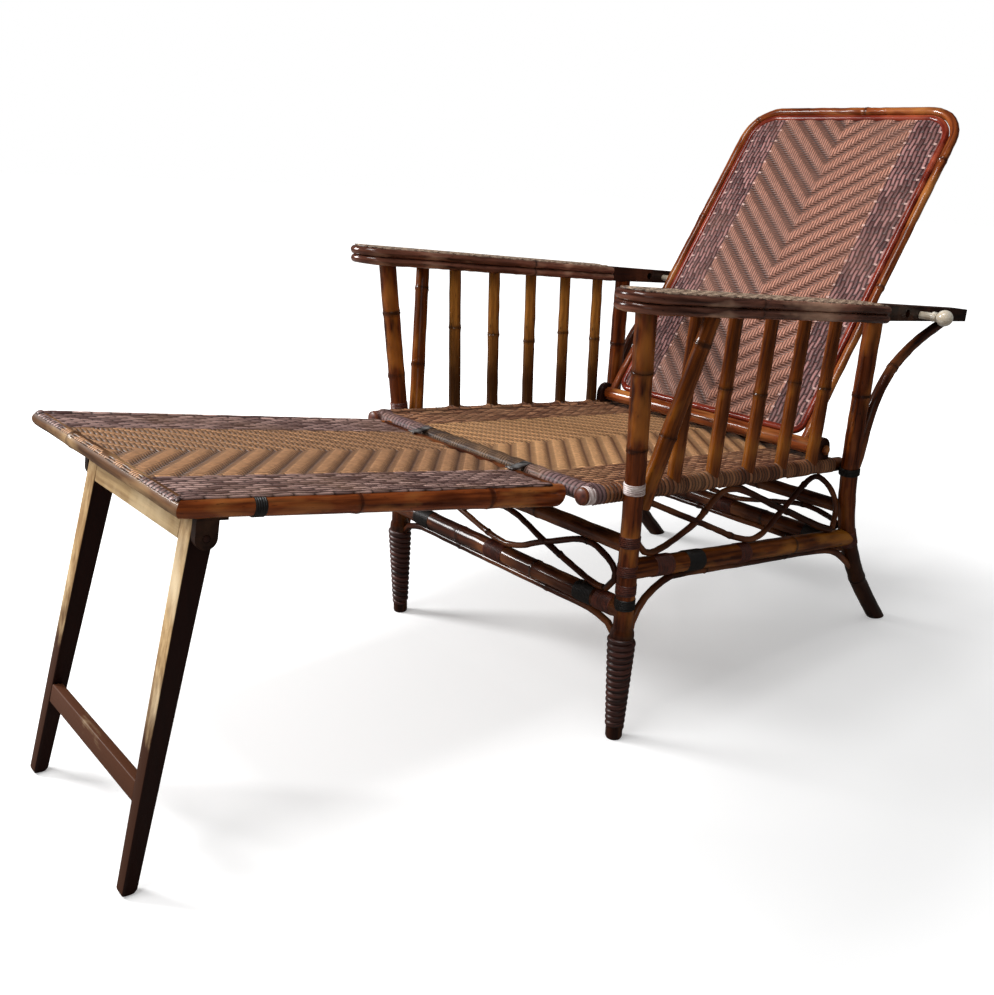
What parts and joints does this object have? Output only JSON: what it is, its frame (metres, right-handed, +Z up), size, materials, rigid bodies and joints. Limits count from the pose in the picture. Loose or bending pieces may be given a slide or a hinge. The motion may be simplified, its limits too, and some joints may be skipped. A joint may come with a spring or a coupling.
{
  "type": "rattan chaise longue",
  "caption": "Cane armchair with a low woven seat, a woven back that reclines against a sliding prop rod, and a long woven footrest that hooks on the seat and stands on folding legs.",
  "frame": {"origin": "on the floor, under the middle of the whole chair's box", "axes": "+Z up, +Y from the footrest towards the back rest, +X to the sitter's left"},
  "size_m": [0.6866, 1.5535, 0.9293],
  "materials": {
    "cane": "varnished red-brown cane",
    "dark_cane": "dark brown varnished cane",
    "amber_cane": "amber varnished cane with brown nodes",
    "weave": "herringbone of split cane strands, satin",
    "red_rod": "varnished red cane",
    "leg_wood": "worn brown wood",
    "pale_cane": "pale bare cane",
    "knob": "pale turned wood, glossy",
    "steel": "dull grey strap"
  },
  "bodies": {
    "frame": {"arm_board_left": "dark_cane", "arm_board_right": "dark_cane", "arm_rim_left": "dark_cane", "arm_rim_right": "dark_cane", "front_arm_brace_left": "amber_cane", "front_arm_brace_right": "amber_cane", "front_lattice": "dark_cane", "front_leg_left": "cane", "front_leg_right": "cane", "front_stretcher": "cane", "front_under_rod": "dark_cane", "front_upper_pole": "cane", "pivot_tab_left": "dark_cane", "pivot_tab_right": "dark_cane", "rear_arm_brace_left": "cane", "rear_arm_brace_right": "cane", "rear_lattice": "dark_cane", "rear_leg_left": "cane", "rear_leg_right": "cane", "rear_stretcher": "cane", "rear_under_rod": "dark_cane", "rear_upper_pole": "cane", "seat_front_rail": "amber_cane", "seat_panel": "weave", "seat_rear_rail": "amber_cane", "seat_side_rail_left": "amber_cane", "seat_side_rail_right": "amber_cane", "side_lattice_left": "dark_cane", "side_lattice_right": "dark_cane", "side_stretcher_left": "cane", "side_stretcher_right": "cane", "side_under_rod_left": "dark_cane", "side_under_rod_right": "dark_cane", "spindle_1_left": "amber_cane", "spindle_1_right": "amber_cane", "spindle_2_left": "amber_cane", "spindle_2_right": "amber_cane", "spindle_3_left": "amber_cane", "spindle_3_right": "amber_cane", "spindle_4_left": "amber_cane", "spindle_4_right": "amber_cane", "spindle_5_left": "amber_cane", "spindle_5_right": "amber_cane"},
    "back": {"back_hoop": "cane", "back_inner_hoop": "red_rod", "back_panel": "weave", "back_pivot_rail": "amber_cane"},
    "prop": {"prop_rod": "knob"},
    "footrest": {"footrest_batten": "leg_wood", "footrest_end_rail": "cane", "footrest_foot_rail": "pale_cane", "footrest_hook_left": "steel", "footrest_hook_right": "steel", "footrest_panel": "weave", "footrest_rail_left": "cane", "footrest_rail_right": "cane"},
    "footrest_legs": {"footrest_leg_left": "leg_wood", "footrest_leg_right": "leg_wood", "leg_top_bar": "leg_wood", "leg_stretcher": "leg_wood"}
  },
  "joints": [
    {"name": "back_recline", "type": "hinge", "parent": "frame", "child": "back", "pos_m": [-0.01025, 0.39215, 0.3625], "axis": [1, 0, 0], "range_deg": [0, 112]},
    {"name": "prop_rod_slide", "type": "slide", "parent": "frame", "child": "prop", "axis": [1, 0, 0], "range_m": [0, 0.56]},
    {"name": "footrest_tilt", "type": "hinge", "parent": "frame", "child": "footrest", "pos_m": [-0.01025, -0.15635, 0.37596], "axis": [-1, 0, 0], "range_deg": [0, 20]},
    {"name": "footrest_leg_fold", "type": "hinge", "parent": "footrest", "child": "footrest_legs", "pos_m": [-0.01025, -0.66957, 0.40648], "axis": [1, 0, 0], "range_deg": [0, 95]}
  ]
}
